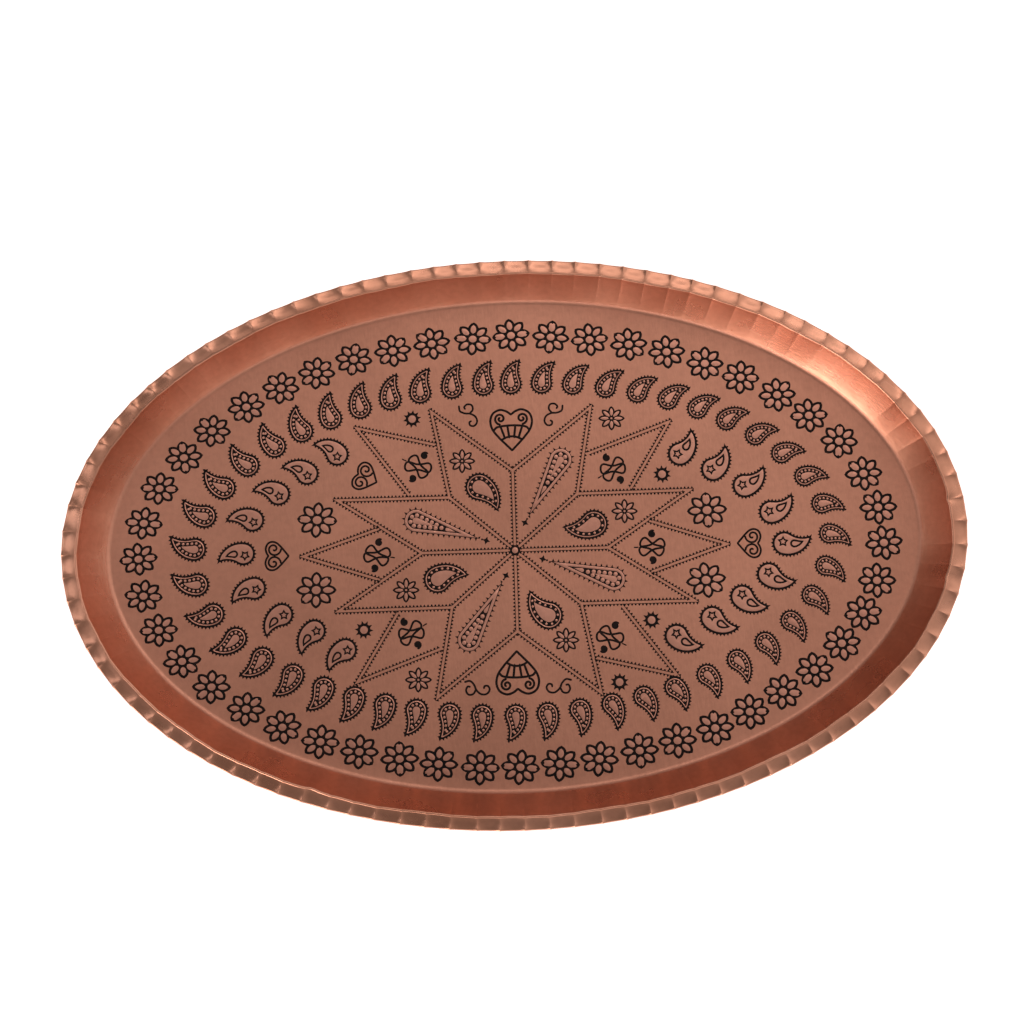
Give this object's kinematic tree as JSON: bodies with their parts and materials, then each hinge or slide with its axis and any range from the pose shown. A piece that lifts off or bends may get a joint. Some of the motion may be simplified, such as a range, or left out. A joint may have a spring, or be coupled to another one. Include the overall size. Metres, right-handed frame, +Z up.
{
  "type": "serving tray",
  "caption": "Oval copper serving tray with a leaning wall, a fluted flange, and a punched base whose floral, paisley and star motifs are filled with black lacquer.",
  "frame": {"origin": "centre of the tray's box at its underside, where it rests on the table", "axes": "+X along the tray's length, +Y across its width, +Z up out of the dish"},
  "size_m": [0.4, 0.2528, 0.016],
  "materials": {
    "copper_sheet": "satin copper, brushed base and burnished wall",
    "black_infill": "matt black lacquer rubbed into the punched lines"
  },
  "bodies": {
    "root": {"tray_body": "copper_sheet", "flower_border_infill": "black_infill", "outer_paisley_infill": "black_infill", "inner_paisley_infill": "black_infill", "star_outline_infill": "black_infill", "star_ray_infill": "black_infill", "star_point_infill": "black_infill", "centre_ring_infill": "black_infill", "star_paisley_infill": "black_infill", "long_drop_infill": "black_infill", "blossom_infill": "black_infill", "knot_infill": "black_infill", "rosette_infill": "black_infill", "fan_heart_infill": "black_infill", "scroll_heart_infill": "black_infill", "gear_rosette_infill": "black_infill", "scroll_infill": "black_infill"}
  },
  "joints": []
}
